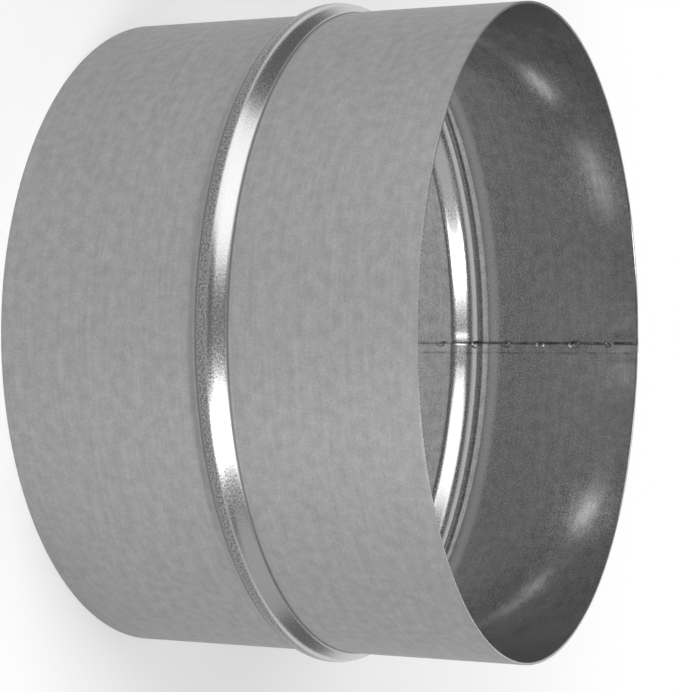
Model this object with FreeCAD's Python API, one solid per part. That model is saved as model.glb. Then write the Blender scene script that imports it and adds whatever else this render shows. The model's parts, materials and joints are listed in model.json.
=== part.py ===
import FreeCAD, Part
import math
import os

# Connector for 125 mm round ventilation duct, in millimetres. One strip of galvanised sheet is
# rolled to a ring, lapped and seam-welded along its length, and a stop bead is rolled outwards near
# the middle. It stands on its lower end: the axis is Z and the lower rim lies on z = 0.

# The ring
OUTSIDE_DIA = 124.0     # slides into a duct of 125 mm bore
SHEET = 0.5             # sheet thickness
LOWER_SPIGOT = 37.0     # lower rim to the foot of the bead
UPPER_SPIGOT = 34.2     # upper rim to the foot of the bead

# The stop bead, measured on the outside of the sheet
BEAD_WIDTH = 8.8        # foot to foot
BEAD_HEIGHT = 2.0       # crown above the wall
CROWN_RADIUS = 3.2
FOOT_RADIUS = 1.8
NECK_RADIUS = 50.0      # the rolling draws the wall in a little on each side of the bead
NECK_TILT = 3.5         # degrees

# The lapped seam
SEAM_ANGLE = 87.0       # degrees from X towards Y, to the middle of the lap
LAP_WIDTH = 2.2         # along the wall
LAP_OUT = 0.25          # how far the outer end of the strip stands out of the wall
WELD_SINK = 0.1         # how far the weld presses the two ends into each other
JOGGLE_LENGTH = 3.0     # along the wall, where each end leaves the ring to make room for the other
EDGE_GAP = 0.15         # along the wall, from the cut edge of one end to the joggle of the other

origin = FreeCAD.Vector(0, 0, 0)
axis = FreeCAD.Vector(0, 0, 1)
wall_radius = OUTSIDE_DIA / 2
length = LOWER_SPIGOT + BEAD_WIDTH + UPPER_SPIGOT

# From neck to crown each half of the bead is arc, arc, straight flank and the crown's arc in two
# lengths, each tangent to the next. The flank's slope follows from the width, height and radii.
tilt = math.radians(NECK_TILT)
draw_in = (NECK_RADIUS + FOOT_RADIUS) * (1 - math.cos(tilt))
half_width = BEAD_WIDTH / 2
radii = CROWN_RADIUS + FOOT_RADIUS
overhang = radii - BEAD_HEIGHT - draw_in
slope = math.atan2(half_width, overhang) - math.acos(radii / math.hypot(half_width, overhang))

# Centres of the bead's arcs: distance from the axis, and height from the crown
crown_z = LOWER_SPIGOT + half_width
crown_centre = (wall_radius + BEAD_HEIGHT - CROWN_RADIUS, 0)
foot_centre = (wall_radius - draw_in + FOOT_RADIUS, half_width)
neck_centre = (wall_radius - NECK_RADIUS, half_width + (NECK_RADIUS + FOOT_RADIUS) * math.sin(tilt))


def line(start, end):
    return Part.LineSegment(start, end).toShape()


def arc(start, middle, end):
    """An arc kept as a spline, which gives the rolled faces a light and even mesh."""
    return Part.Arc(start, middle, end).toBSpline().toShape()


def skin(inset, shift):
    """One side of the sheet, as edges in the XZ plane from the lower rim to the upper."""
    crown = CROWN_RADIUS - inset
    foot = -FOOT_RADIUS - inset
    neck = NECK_RADIUS - inset

    def point(centre, radius, angle, side):
        across, along = centre
        x = across + radius * math.cos(angle) + shift
        return FreeCAD.Vector(x, 0, crown_z + side * (along + radius * math.sin(angle)))

    def flank(side):
        wall_end = point(neck_centre, neck, 0, side)
        neck_middle = point(neck_centre, neck, -tilt / 2, side)
        neck_end = point(neck_centre, neck, -tilt, side)
        foot_middle = point(foot_centre, foot, (slope - tilt) / 2, side)
        foot_end = point(foot_centre, foot, slope, side)
        crown_end = point(crown_centre, crown, slope, side)
        crown_bend = point(crown_centre, crown, slope * 3 / 4, side)
        crown_half = point(crown_centre, crown, slope / 2, side)
        crown_rise = point(crown_centre, crown, slope / 4, side)
        crown_top = point(crown_centre, crown, 0, side)
        rim = FreeCAD.Vector(wall_end.x, 0, length * (1 + side) / 2)
        edges = [
            line(rim, wall_end),
            arc(wall_end, neck_middle, neck_end),
            arc(neck_end, foot_middle, foot_end),
            line(foot_end, crown_end),
            arc(crown_end, crown_bend, crown_half),
            arc(crown_half, crown_rise, crown_top),
        ]
        return edges, rim

    lower, lower_rim = flank(-1)
    upper, upper_rim = flank(1)
    return lower + upper[::-1], lower_rim, upper_rim


def section(shift, angle):
    """The sheet cut along the axis, moved out by shift and turned about the axis."""
    outside, outside_lower, outside_upper = skin(0, shift)
    inside, inside_lower, inside_upper = skin(SHEET, shift)
    upper_cut = line(outside_upper, inside_upper)
    lower_cut = line(inside_lower, outside_lower)
    wire = Part.Wire(outside + [upper_cut] + inside[::-1] + [lower_cut])
    wire.rotate(origin, axis, angle)
    return wire


def strip_end(shift, cut_angle, lap_angle, ring_angle):
    """An end of the strip: it leaves the ring by a slope, then lies in the lap up to its cut edge."""
    sections = [section(0, ring_angle), section(shift, lap_angle), section(shift, cut_angle)]
    return Part.makeLoft(sections, True, True)


def turn(along_wall):
    """The angle that a length along the wall takes up."""
    return math.degrees(along_wall / wall_radius)


# The strip runs round from its outer end to its inner end, which lies under the outer one.
lap_in = SHEET - WELD_SINK - LAP_OUT
lap = turn(LAP_WIDTH / 2)
edge = turn(LAP_WIDTH / 2 - EDGE_GAP)
ring_end = turn(LAP_WIDTH / 2 + JOGGLE_LENGTH)

ring = Part.Face(section(0, ring_end)).revolve(origin, axis, 360 - 2 * ring_end)
outer_end = strip_end(LAP_OUT, -edge, lap, ring_end)
inner_end = strip_end(-lap_in, edge, -lap, -ring_end)

sleeve = ring.fuse([outer_end, inner_end]).removeSplitter().Solids[0]
sleeve.rotate(origin, axis, SEAM_ANGLE)

os.makedirs("parts", exist_ok=True)
sleeve.exportStep("parts/connector_sleeve.step")
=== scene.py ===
import json
import math
import bmesh
import bpy
from mathutils import Matrix, Vector


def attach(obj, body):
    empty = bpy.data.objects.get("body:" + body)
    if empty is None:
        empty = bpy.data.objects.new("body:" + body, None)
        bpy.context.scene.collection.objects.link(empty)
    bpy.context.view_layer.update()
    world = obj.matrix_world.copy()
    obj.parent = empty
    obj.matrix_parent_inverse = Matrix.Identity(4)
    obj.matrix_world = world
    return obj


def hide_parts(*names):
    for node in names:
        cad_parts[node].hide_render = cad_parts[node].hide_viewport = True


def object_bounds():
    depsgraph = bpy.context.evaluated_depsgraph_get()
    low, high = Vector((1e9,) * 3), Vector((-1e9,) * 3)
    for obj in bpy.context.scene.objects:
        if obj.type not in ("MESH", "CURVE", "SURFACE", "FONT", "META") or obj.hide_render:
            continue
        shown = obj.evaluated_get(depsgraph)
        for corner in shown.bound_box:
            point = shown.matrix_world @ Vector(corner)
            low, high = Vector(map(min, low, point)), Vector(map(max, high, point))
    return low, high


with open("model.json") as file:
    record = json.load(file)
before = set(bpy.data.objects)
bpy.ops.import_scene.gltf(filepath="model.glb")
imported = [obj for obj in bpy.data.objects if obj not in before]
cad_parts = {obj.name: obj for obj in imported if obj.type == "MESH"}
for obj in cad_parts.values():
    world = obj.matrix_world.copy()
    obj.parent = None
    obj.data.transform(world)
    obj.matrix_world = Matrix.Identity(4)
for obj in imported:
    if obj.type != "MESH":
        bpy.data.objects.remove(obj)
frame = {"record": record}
cad_low, cad_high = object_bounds()

# The sleeve: one strip of galvanised sheet steel. A stop bead is rolled into it, it is bent to a
# ring, and its ends are joggled so that one slips under the other and is welded there.
SHEET = 0.0005
BEAD_WIDTH = 0.0088
BEAD_HEIGHT = 0.002
CROWN_RADIUS = 0.0032
FOOT_RADIUS = 0.0018
NECK_RADIUS = 0.05
NECK_TILT = math.radians(3.5)
BEAD_Z = 0.0414
SEAM_ANGLE = math.radians(87.0)
LAP_WIDTH = 0.0022
LAP_OUT = 0.00025
LAP_IN = 0.00015
JOGGLE = 0.003
EDGE_GAP = 0.00015
RIM_BREAK = 0.00006
RIM_LOOP = 0.0004
COLUMNS = 719

mounts = {mount["name"]: mount for mount in frame["record"]["mounts"]}
wall = mounts["upper_spigot"]["dims"]["r_mm"] / 1000
sleeve_length = cad_high.z

# Corners of the rolled section before they are rounded: rim, neck, foot and the apex of the crown
half_width = BEAD_WIDTH / 2
draw_in = (NECK_RADIUS + FOOT_RADIUS) * (1 - math.cos(NECK_TILT))
radii = CROWN_RADIUS + FOOT_RADIUS
overhang = radii - BEAD_HEIGHT - draw_in
slope = math.atan2(half_width, overhang) - math.acos(radii / math.hypot(half_width, overhang))
neck_cut = NECK_RADIUS * math.tan(NECK_TILT / 2)
foot_cut = FOOT_RADIUS * math.tan((NECK_TILT + slope) / 2)
crown_cut = CROWN_RADIUS * math.tan(slope)
neck_off = half_width + (NECK_RADIUS + FOOT_RADIUS) * math.sin(NECK_TILT) - neck_cut
foot_off = neck_off - (neck_cut + foot_cut) * math.cos(NECK_TILT)
foot_in = (neck_cut + foot_cut) * math.sin(NECK_TILT)
apex_out = BEAD_HEIGHT + CROWN_RADIUS * (1 / math.cos(slope) - 1)
section = [
    (wall, 0),
    (wall, RIM_LOOP),
    (wall, BEAD_Z - neck_off),
    (wall - foot_in, BEAD_Z - foot_off),
    (wall + apex_out, BEAD_Z),
    (wall - foot_in, BEAD_Z + foot_off),
    (wall, BEAD_Z + neck_off),
    (wall, sleeve_length - RIM_LOOP),
    (wall, sleeve_length),
]

# The flat strip, its bead rolled in: x runs along the strip, y is the distance from the axis
edge = (LAP_WIDTH / 2 - EDGE_GAP) / wall
lap = LAP_WIDTH / 2 / wall
ring_end = (LAP_WIDTH / 2 + JOGGLE) / wall
strip_length = (2 * math.pi + 2 * edge) * wall
strip = bmesh.new()
corners = [strip.verts.new((0, radius, z)) for radius, z in section]
for first, second in zip(corners, corners[1:]):
    strip.edges.new((first, second))
pulled = bmesh.ops.extrude_edge_only(strip, edges=strip.edges[:])["geom"]
pulled_corners = [item for item in pulled if isinstance(item, bmesh.types.BMVert)]
bmesh.ops.translate(strip, verts=pulled_corners, vec=(strip_length, 0, 0))


def long_edges(z, reach):
    """The strip's lengthwise edges within reach of a height."""
    found = []
    for line in strip.edges:
        start, end = line.verts
        if abs(start.co.x - end.co.x) > strip_length / 2 and abs(start.co.z - z) < reach:
            found.append(line)
    return found


for z, cut, segments in (
    (BEAD_Z, crown_cut, 12),
    (BEAD_Z - foot_off, foot_cut, 7),
    (BEAD_Z + foot_off, foot_cut, 7),
    (BEAD_Z - neck_off, neck_cut, 6),
    (BEAD_Z + neck_off, neck_cut, 6),
):
    bmesh.ops.bevel(
        strip, geom=long_edges(z, 0.0001), offset=cut, offset_type="OFFSET", affect="EDGES",
        segments=segments, profile=0.5, material=-1, clamp_overlap=False,
    )
bmesh.ops.remove_doubles(strip, verts=strip.verts[:], dist=0.000005)
bmesh.ops.subdivide_edges(strip, edges=long_edges(0, 1), cuts=COLUMNS, use_grid_fill=True)

# The place on the flat strip is kept for the finish, then the strip is rolled up
along_strip = strip.verts.layers.float.new("along_strip")
up_strip = strip.verts.layers.float.new("up_strip")
inner_skin = strip.verts.layers.float.new("inner_skin")


def joggle(angle):
    """How far the strip stands out of the ring, at an angle from the middle of the lap."""
    from_start = angle
    from_end = 2 * math.pi - angle
    start_share = min(max((ring_end - from_start) / (ring_end - lap), 0), 1)
    end_share = min(max((ring_end - from_end) / (ring_end - lap), 0), 1)
    smooth_start = start_share * start_share * (3 - 2 * start_share)
    smooth_end = end_share * end_share * (3 - 2 * end_share)
    return LAP_OUT * smooth_start - LAP_IN * smooth_end


for vert in strip.verts:
    vert[along_strip] = vert.co.x
    vert[up_strip] = vert.co.z
    angle = vert.co.x / wall - edge
    radius = vert.co.y + joggle(angle)
    turned = angle + SEAM_ANGLE
    vert.co = Vector((radius * math.cos(turned), radius * math.sin(turned), vert.co.z))

# The sheet gets its thickness inwards, and its sheared edges are broken a little
bmesh.ops.recalc_face_normals(strip, faces=strip.faces[:])
sample = max(strip.faces, key=lambda face: face.calc_area())
middle = sample.calc_center_median()
if sample.normal.dot(Vector((middle.x, middle.y, 0))) < 0:
    bmesh.ops.reverse_faces(strip, faces=strip.faces[:])
outer_verts = set(strip.verts)
bmesh.ops.solidify(strip, geom=strip.faces[:], thickness=SHEET)
strip.normal_update()
for vert in strip.verts:
    if vert not in outer_verts:
        vert[inner_skin] = 1.0
sheared = [line for line in strip.edges if len(line.link_faces) == 2 and line.calc_face_angle() > 1.0]
bmesh.ops.bevel(
    strip, geom=sheared, offset=RIM_BREAK, offset_type="OFFSET", affect="EDGES",
    segments=2, profile=0.5, material=-1, clamp_overlap=True,
)
strip_uv = strip.loops.layers.uv.new("strip")
for face in strip.faces:
    face.smooth = True
    for loop in face.loops:
        loop[strip_uv].uv = (loop.vert[along_strip], loop.vert[up_strip])

sleeve_mesh = bpy.data.meshes.new("sleeve")
strip.to_mesh(sleeve_mesh)
strip.free()
sleeve = bpy.data.objects.new("sleeve", sleeve_mesh)
bpy.context.collection.objects.link(sleeve)


def linear(code):
    """An sRGB hex colour as the linear colour that a shader takes."""
    shades = [int(code[start:start + 2], 16) / 255 for start in (1, 3, 5)]
    return [s / 12.92 if s <= 0.04045 else ((s + 0.055) / 1.055) ** 2.4 for s in shades] + [1.0]


def add(tree, kind, settings, links):
    """A node with its settings, by socket or property name, and its links."""
    node = tree.nodes.new(kind)
    for name, value in settings.items():
        if isinstance(name, int) or name in node.inputs:
            node.inputs[name].default_value = value
        else:
            setattr(node, name, value)
    for name, source in links.items():
        tree.links.new(source, node.inputs[name])
    return node


# Hot-dip galvanised steel: a matte grey zinc skin with a fine grain and faint lines along the strip
# from the rolling mill. The bead rolls have burnished a band on the bead, on its upper side outside and its
# lower side inside. Outside, that band is painted darker up to just above the crown: painted shade.
# Both grains are finer than the render shows, so they are drawn coarser.
GRAIN = 0.0004
LINES = 0.0008
CLOUDS = 0.0022
BURNISHED_GRAIN = 0.00035
SHADE_PATCH_SIZE = 0.003
SHOULDER = 0.003
RUBBED_PAST_CROWN = 0.0013
RUBBED_FADE = 0.0005
RUBBED_SHORT_OF_FOOT = 0.0005
BRIGHT_FROM = 0.0005
BRIGHT_TO = 0.0011
EDGE_SHADE_CORE = 0.00008
EDGE_SHADE_FADE = 0.00035
OUTER_RELIEF = 0.00001
INNER_RELIEF = 0.000001
zinc = bpy.data.materials.new("galvanised_steel")
zinc.use_nodes = True
tree = zinc.node_tree
tree.nodes.clear()
flat = add(tree, "ShaderNodeUVMap", {"uv_map": "strip"}, {})
place = add(tree, "ShaderNodeTexCoord", {}, {})
height = add(tree, "ShaderNodeSeparateXYZ", {}, {"Vector": place.outputs["Object"]})
stretched = add(tree, "ShaderNodeMapping", {"Scale": (0.06, 1, 1)}, {"Vector": flat.outputs["UV"]})
grain = add(tree, "ShaderNodeTexNoise", {"Scale": 1 / GRAIN, "Detail": 2.0}, {"Vector": flat.outputs["UV"]})
lines = add(
    tree, "ShaderNodeTexNoise", {"Scale": 1 / LINES, "Detail": 2.0}, {"Vector": stretched.outputs["Vector"]},
)
clouds = add(
    tree, "ShaderNodeTexNoise", {"Scale": 1 / CLOUDS, "Detail": 4.0}, {"Vector": flat.outputs["UV"]},
)
rubbed = add(
    tree, "ShaderNodeTexNoise", {"Scale": 1 / BURNISHED_GRAIN, "Detail": 1.0},
    {"Vector": flat.outputs["UV"]},
)
inside = add(tree, "ShaderNodeAttribute", {"attribute_name": "inner_skin"}, {})
rolled_from = add(
    tree, "ShaderNodeMapRange", {"To Min": BEAD_Z - RUBBED_PAST_CROWN, "To Max": BEAD_Z - half_width},
    {"Value": inside.outputs["Fac"]},
)
above_start = add(
    tree, "ShaderNodeMath", {"operation": "SUBTRACT"},
    {0: height.outputs["Z"], 1: rolled_from.outputs["Result"]},
)
rolled_to = add(
    tree, "ShaderNodeMapRange",
    {"To Min": BEAD_Z + half_width - RUBBED_SHORT_OF_FOOT, "To Max": BEAD_Z + RUBBED_PAST_CROWN},
    {"Value": inside.outputs["Fac"]},
)
below_end = add(
    tree, "ShaderNodeMath", {"operation": "SUBTRACT"},
    {0: rolled_to.outputs["Result"], 1: height.outputs["Z"]},
)
into_band = add(
    tree, "ShaderNodeMath", {"operation": "MINIMUM"},
    {0: above_start.outputs["Value"], 1: below_end.outputs["Value"]},
)
burnish = add(
    tree, "ShaderNodeMapRange",
    {"interpolation_type": "SMOOTHSTEP", "From Min": 0.0, "From Max": RUBBED_FADE},
    {"Value": into_band.outputs["Value"]},
)
mottle = add(
    tree, "ShaderNodeMath", {"operation": "MULTIPLY_ADD", 1: 0.6},
    {0: clouds.outputs["Fac"], 2: grain.outputs["Fac"]},
)
streaks = add(
    tree, "ShaderNodeMath", {"operation": "MULTIPLY_ADD", 1: 0.3},
    {0: lines.outputs["Fac"], 2: mottle.outputs["Value"]},
)
patina = add(
    tree, "ShaderNodeMapRange", {"From Min": 0.65, "From Max": 1.25}, {"Value": streaks.outputs["Value"]},
)
outer_tint = add(
    tree, "ShaderNodeMix", {"data_type": "RGBA", 6: linear("#888888"), 7: linear("#A8A8A8")},
    {"Factor": patina.outputs["Result"]},
)
inner_tint = add(
    tree, "ShaderNodeMix", {"data_type": "RGBA", 6: linear("#909090"), 7: linear("#C8C8C8")},
    {"Factor": patina.outputs["Result"]},
)
wall_tint = add(
    tree, "ShaderNodeMix", {"data_type": "RGBA"},
    {"Factor": inside.outputs["Fac"], 6: outer_tint.outputs[2], 7: inner_tint.outputs[2]},
)
# Painted shade: outside, the burnished band is painted dark and grained up to just above the crown, light
# above it
bead_shade_fades_up = add(
    tree, "ShaderNodeMapRange",
    {"interpolation_type": "SMOOTHSTEP", "From Min": BEAD_Z + BRIGHT_FROM, "From Max": BEAD_Z + BRIGHT_TO},
    {"Value": height.outputs["Z"]},
)
shade_grain_share = add(
    tree, "ShaderNodeMapRange", {"From Min": 0.35, "From Max": 0.65}, {"Value": rubbed.outputs["Fac"]},
)
bead_painted_shade_tint = add(
    tree, "ShaderNodeMix", {"data_type": "RGBA", 6: linear("#666666"), 7: linear("#989898")},
    {"Factor": shade_grain_share.outputs["Result"]},
)
outer_bead_tint = add(
    tree, "ShaderNodeMix", {"data_type": "RGBA", 7: linear("#C2C2C2")},
    {"Factor": bead_shade_fades_up.outputs["Result"], 6: bead_painted_shade_tint.outputs[2]},
)
bead_tint = add(
    tree, "ShaderNodeMix", {"data_type": "RGBA", 7: linear("#D0D0D0")},
    {"Factor": inside.outputs["Fac"], 6: outer_bead_tint.outputs[2]},
)
tint = add(
    tree, "ShaderNodeMix", {"data_type": "RGBA"},
    {"Factor": burnish.outputs["Result"], 6: wall_tint.outputs[2], 7: bead_tint.outputs[2]},
)
outer_rough = add(
    tree, "ShaderNodeMapRange", {"From Min": 0.35, "From Max": 0.65, "To Min": 0.45, "To Max": 0.63},
    {"Value": grain.outputs["Fac"]},
)
inner_rough = add(
    tree, "ShaderNodeMapRange", {"From Min": 0.35, "From Max": 0.65, "To Min": 0.08, "To Max": 0.19},
    {"Value": grain.outputs["Fac"]},
)
wall_rough = add(
    tree, "ShaderNodeMix", {"data_type": "FLOAT"},
    {"Factor": inside.outputs["Fac"], 2: outer_rough.outputs["Result"], 3: inner_rough.outputs["Result"]},
)
bead_rough = add(
    tree, "ShaderNodeMapRange", {"From Min": 0.3, "From Max": 0.7, "To Min": 0.2, "To Max": 0.3},
    {"Value": rubbed.outputs["Fac"]},
)
rough = add(
    tree, "ShaderNodeMix", {"data_type": "FLOAT"},
    {"Factor": burnish.outputs["Result"], 2: wall_rough.outputs[0], 3: bead_rough.outputs["Result"]},
)
# Painted highlight: inside only, a light strip is painted on the wall just above the bead
from_shoulder = add(
    tree, "ShaderNodeMath", {"operation": "SUBTRACT", 1: BEAD_Z + half_width + SHOULDER / 2},
    {0: height.outputs["Z"]},
)
off_shoulder = add(tree, "ShaderNodeMath", {"operation": "ABSOLUTE"}, {0: from_shoulder.outputs["Value"]})
shoulder_highlight = add(
    tree, "ShaderNodeMapRange",
    {"interpolation_type": "SMOOTHSTEP", "From Min": SHOULDER * 0.1, "From Max": SHOULDER * 0.6,
     "To Min": 0.9, "To Max": 0.0},
    {"Value": off_shoulder.outputs["Value"]},
)
shoulder_highlight_inside = add(
    tree, "ShaderNodeMath", {"operation": "MULTIPLY"},
    {0: shoulder_highlight.outputs["Result"], 1: inside.outputs["Fac"]},
)
tint = add(
    tree, "ShaderNodeMix", {"data_type": "RGBA", 7: linear("#DADADA")},
    {"Factor": shoulder_highlight_inside.outputs["Value"], 6: tint.outputs[2]},
)
# Painted shade: dark lines along both edges of the burnished band, deeper outside than inside
at_edge = add(tree, "ShaderNodeMath", {"operation": "ABSOLUTE"}, {0: into_band.outputs["Value"]})
edge_shade_depth = add(
    tree, "ShaderNodeMapRange", {"To Min": 0.7, "To Max": 0.2}, {"Value": inside.outputs["Fac"]},
)
band_edge_shade = add(
    tree, "ShaderNodeMapRange", {"From Min": EDGE_SHADE_CORE, "From Max": EDGE_SHADE_FADE, "To Max": 0.0},
    {"Value": at_edge.outputs["Value"], "To Min": edge_shade_depth.outputs["Result"]},
)
tint = add(
    tree, "ShaderNodeMix", {"data_type": "RGBA", 7: linear("#4C4C4C")},
    {"Factor": band_edge_shade.outputs["Result"], 6: tint.outputs[2]},
)
# Patches for the painted shade lines below
shade_patches = add(
    tree, "ShaderNodeTexNoise", {"Scale": 1 / SHADE_PATCH_SIZE, "Detail": 2.0}, {"Vector": flat.outputs["UV"]},
)
patchy_shade = add(
    tree, "ShaderNodeMapRange", {"From Min": 0.4, "From Max": 0.6, "To Min": 0.25, "To Max": 1.0},
    {"Value": shade_patches.outputs["Fac"]},
)

# Painted shade, patchy, on the inside only: dark lines in the crevice along the inner cut edge and beside
# the lap, and in the crease of the joggle
strip_axes = add(tree, "ShaderNodeSeparateXYZ", {}, {"Vector": flat.outputs["UV"]})
for middle, reach, depth in (
    (strip_length, 0.0003, 0.8),
    (2 * edge * wall + 0.0002, 0.0004, 0.8),
    (strip_length - (edge + lap) * wall, 0.0003, 0.45),
):
    off_line = add(
        tree, "ShaderNodeMath", {"operation": "SUBTRACT", 1: middle}, {0: strip_axes.outputs["X"]},
    )
    away = add(tree, "ShaderNodeMath", {"operation": "ABSOLUTE"}, {0: off_line.outputs["Value"]})
    line = add(
        tree, "ShaderNodeMapRange",
        {"From Min": reach * 0.4, "From Max": reach, "To Min": depth, "To Max": 0.0},
        {"Value": away.outputs["Value"]},
    )
    dark = add(
        tree, "ShaderNodeMath", {"operation": "MULTIPLY"},
        {0: line.outputs["Result"], 1: patchy_shade.outputs["Result"]},
    )
    shown = add(
        tree, "ShaderNodeMath", {"operation": "MULTIPLY"},
        {0: dark.outputs["Value"], 1: inside.outputs["Fac"]},
    )
    tint = add(
        tree, "ShaderNodeMix", {"data_type": "RGBA", 7: linear("#343230")},
        {"Factor": shown.outputs["Value"], 6: tint.outputs[2]},
    )

relief_height = add(
    tree, "ShaderNodeMapRange", {"To Min": OUTER_RELIEF, "To Max": INNER_RELIEF},
    {"Value": inside.outputs["Fac"]},
)
relief = add(
    tree, "ShaderNodeBump", {"Strength": 1.0},
    {"Height": grain.outputs["Fac"], "Distance": relief_height.outputs["Result"]},
)
wall_metal = add(
    tree, "ShaderNodeMapRange", {"To Min": 0.72, "To Max": 0.85}, {"Value": inside.outputs["Fac"]},
)
metallic = add(
    tree, "ShaderNodeMix", {"data_type": "FLOAT", 3: 1.0},
    {"Factor": burnish.outputs["Result"], 2: wall_metal.outputs["Result"]},
)
metal = add(
    tree, "ShaderNodeBsdfPrincipled", {},
    {"Base Color": tint.outputs[2], "Metallic": metallic.outputs[0], "Roughness": rough.outputs[0],
     "Normal": relief.outputs["Normal"]},
)
add(tree, "ShaderNodeOutputMaterial", {}, {"Surface": metal.outputs["BSDF"]})
sleeve_mesh.materials.append(zinc)

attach(sleeve, "root")
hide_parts("connector_sleeve")

# The weld spots: the electrode of the seam welder left a row of shallow round prints along the inner
# end of the strip. Each print has a raised rim of bright metal squeezed out of it.
SPOT_RADIUS = 0.0006
SPOT_STRETCH = 1.5
SPOT_RIM = 0.00014
SPOT_UNEVEN = 0.25
SPOT_PITCH = 0.0078
SPOT_FIRST = 0.0034
SPOT_COUNT = 10
SPOT_FROM_EDGE = 0.0002
spot_angle = SEAM_ANGLE + edge - SPOT_FROM_EDGE / wall
spot_depth = wall - LAP_IN - SHEET
spots = bmesh.new()
for number in range(SPOT_COUNT):
    spot_z = SPOT_FIRST + number * SPOT_PITCH
    in_bead = abs(spot_z - BEAD_Z) < half_width
    spot_reach = spot_depth + (BEAD_HEIGHT - (spot_z - BEAD_Z) ** 2 / CROWN_RADIUS / 2 if in_bead else 0)
    spot_radius = SPOT_RADIUS * (1 + SPOT_UNEVEN * math.cos(2.4 * number))
    rim = bmesh.ops.create_circle(spots, segments=8, radius=SPOT_RIM)["verts"]
    bmesh.ops.rotate(spots, verts=rim, cent=(0, 0, 0), matrix=Matrix.Rotation(math.pi / 2, 3, "X"))
    bmesh.ops.translate(spots, verts=rim, vec=(spot_radius, 0, 0))
    rim_edges = [line for line in spots.edges if line.verts[0] in rim and line.verts[1] in rim]
    bmesh.ops.spin(
        spots, geom=rim + rim_edges, cent=(0, 0, 0), axis=(0, 0, 1), angle=2 * math.pi, steps=28,
        use_merge=True, use_duplicate=False,
    )
    ring_verts = [vert for vert in spots.verts if not vert.tag]
    bmesh.ops.scale(spots, verts=ring_verts, vec=(SPOT_STRETCH, 1, 1))
    to_wall = Matrix.Rotation(spot_angle, 4, "Z") @ Matrix.Rotation(math.pi / 2, 4, "Y")
    bmesh.ops.transform(spots, verts=ring_verts, matrix=to_wall)
    bmesh.ops.translate(
        spots, verts=ring_verts,
        vec=(spot_reach * math.cos(spot_angle), spot_reach * math.sin(spot_angle), spot_z),
    )
    for vert in ring_verts:
        vert.tag = True
bmesh.ops.remove_doubles(spots, verts=spots.verts[:], dist=0.000002)
bmesh.ops.recalc_face_normals(spots, faces=spots.faces[:])
for face in spots.faces:
    face.smooth = True
spots_mesh = bpy.data.meshes.new("weld_spots")
spots.to_mesh(spots_mesh)
spots.free()
weld_spots = bpy.data.objects.new("weld_spots", spots_mesh)
bpy.context.collection.objects.link(weld_spots)

# Steel squeezed out by the weld: bare and bright, with dull patches where the zinc burnt off
BURN = 0.0012
bare = bpy.data.materials.new("bare_weld_steel")
bare.use_nodes = True
tree = bare.node_tree
tree.nodes.clear()
place = add(tree, "ShaderNodeTexCoord", {}, {})
burnt = add(
    tree, "ShaderNodeTexNoise", {"Scale": 1 / BURN, "Detail": 1.0}, {"Vector": place.outputs["Object"]},
)
patches = add(
    tree, "ShaderNodeMapRange", {"From Min": 0.42, "From Max": 0.52}, {"Value": burnt.outputs["Fac"]},
)
bare_tint = add(
    tree, "ShaderNodeMix", {"data_type": "RGBA", 6: linear("#DADADA"), 7: linear("#6A6866")},
    {"Factor": patches.outputs["Result"]},
)
bare_rough = add(
    tree, "ShaderNodeMapRange", {"To Min": 0.2, "To Max": 0.5}, {"Value": patches.outputs["Result"]},
)
bare_metal = add(
    tree, "ShaderNodeBsdfPrincipled", {"Metallic": 1.0},
    {"Base Color": bare_tint.outputs[2], "Roughness": bare_rough.outputs["Result"]},
)
add(tree, "ShaderNodeOutputMaterial", {}, {"Surface": bare_metal.outputs["BSDF"]})
spots_mesh.materials.append(bare)
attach(weld_spots, "root")
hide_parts("connector_sleeve")

# The floor: plain white backdrop paper that the sleeve stands on. Away from the sleeve the camera and
# the metal see it as pure white, and near the sleeve it keeps the soft shadow.
FLOOR_HALF = 3.0
FLOOR_WHITE = 0.35
WHITENS_FROM = 0.12
WHITE_FROM = 0.34
floor_form = bmesh.new()
bmesh.ops.create_grid(floor_form, x_segments=1, y_segments=1, size=FLOOR_HALF)
floor_mesh = bpy.data.meshes.new("floor")
floor_form.to_mesh(floor_mesh)
floor_form.free()
floor = bpy.data.objects.new("floor", floor_mesh)
bpy.context.collection.objects.link(floor)
paper = bpy.data.materials.new("white_backdrop_paper")
paper.use_nodes = True
tree = paper.node_tree
tree.nodes.clear()
ray = add(tree, "ShaderNodeLightPath", {}, {})
seen = add(
    tree, "ShaderNodeMath", {"operation": "MAXIMUM"},
    {0: ray.outputs["Is Camera Ray"], 1: ray.outputs["Is Glossy Ray"]},
)
shown = add(
    tree, "ShaderNodeMath", {"operation": "MAXIMUM"},
    {0: seen.outputs["Value"], 1: ray.outputs["Is Transmission Ray"]},
)
place = add(tree, "ShaderNodeTexCoord", {}, {})
from_axis = add(tree, "ShaderNodeVectorMath", {"operation": "LENGTH"}, {0: place.outputs["Object"]})
whiteness = add(
    tree, "ShaderNodeMapRange",
    {"interpolation_type": "SMOOTHSTEP", "From Min": WHITENS_FROM, "From Max": WHITE_FROM,
     "To Min": FLOOR_WHITE, "To Max": 1.0},
    {"Value": from_axis.outputs["Value"]},
)
share = add(
    tree, "ShaderNodeMath", {"operation": "MULTIPLY"},
    {0: shown.outputs["Value"], 1: whiteness.outputs["Result"]},
)
lit = add(tree, "ShaderNodeBsdfDiffuse", {"Color": linear("#F4F4F4")}, {})
white = add(tree, "ShaderNodeEmission", {"Color": linear("#FFFFFF"), "Strength": 1.0}, {})
paper_mix = add(
    tree, "ShaderNodeMixShader", {},
    {0: share.outputs["Value"], 1: lit.outputs["BSDF"], 2: white.outputs["Emission"]},
)
add(tree, "ShaderNodeOutputMaterial", {}, {"Surface": paper_mix.outputs["Shader"]})
floor_mesh.materials.append(paper)

# The lamps: soft studio boxes. One stands on each side of the camera, a dim one at the right, one
# overhead that lights the floor, and a weak one behind the sleeve. The room itself is dim.
ROOM_LIGHT = 0.16
centre = Vector((0, 0, sleeve_length / 2))


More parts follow.
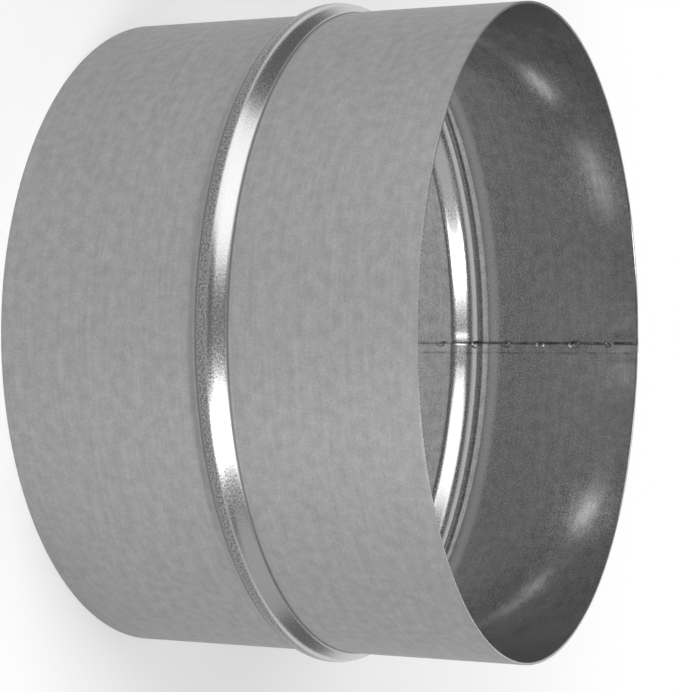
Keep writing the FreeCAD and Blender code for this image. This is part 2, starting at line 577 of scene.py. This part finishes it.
def softbox(name, azimuth, elevation, distance, width, tall, radiance):
    """A flat lamp that faces the sleeve; its azimuth runs from the camera's side towards +X."""
    level = math.cos(math.radians(elevation))
    towards = Vector((
        level * math.sin(math.radians(azimuth)),
        -level * math.cos(math.radians(azimuth)),
        math.sin(math.radians(elevation)),
    ))
    lamp = bpy.data.lights.new(name, "AREA")
    lamp.shape = "RECTANGLE"
    lamp.size = width
    lamp.size_y = tall
    lamp.energy = radiance * math.pi * width * tall
    stand = bpy.data.objects.new(name, lamp)
    stand.location = centre + towards * distance
    stand.rotation_euler = (-towards).to_track_quat("-Z", "Y").to_euler()
    bpy.context.collection.objects.link(stand)


softbox("left_softbox", -52, 27, 0.6, 0.5, 0.66, 1.6)
softbox("right_softbox", 32, 27, 0.6, 0.2, 0.66, 5.4)
softbox("right_side_softbox", 86, 30, 0.6, 0.4, 0.6, 0.4)
softbox("overhead_softbox", -50, 66, 1.3, 0.6, 0.6, 5.0)
softbox("back_softbox", 160, 40, 1.0, 0.6, 0.6, 1.8)
world = bpy.data.worlds.new("dim_room")
world.use_nodes = True
world.node_tree.nodes["Background"].inputs["Color"].default_value = linear("#FFFFFF")
world.node_tree.nodes["Background"].inputs["Strength"].default_value = ROOM_LIGHT
bpy.context.scene.world = world

# The camera: it looks down into the upper end from the front and is held on its side, so that the
# standing sleeve shows as if it lay down.
CAMERA_LENS = 110.92
CAMERA_PLACE = (0, -0.38135, 0.21235)
CAMERA_AIM = (0.00256, 0, 0.03777)
CAMERA_ROLL = math.radians(90.25)
camera_data = bpy.data.cameras.new("camera")
camera_data.sensor_width = 36.0
camera_data.lens = CAMERA_LENS
camera = bpy.data.objects.new("camera", camera_data)
camera.location = CAMERA_PLACE
aim = Vector(CAMERA_AIM) - camera.location
camera.rotation_euler = (
    aim.to_track_quat("-Z", "Y").to_matrix() @ Matrix.Rotation(CAMERA_ROLL, 3, "Z")
).to_euler()
bpy.context.collection.objects.link(camera)
bpy.context.scene.camera = camera
bpy.context.scene.view_settings.view_transform = "Standard"
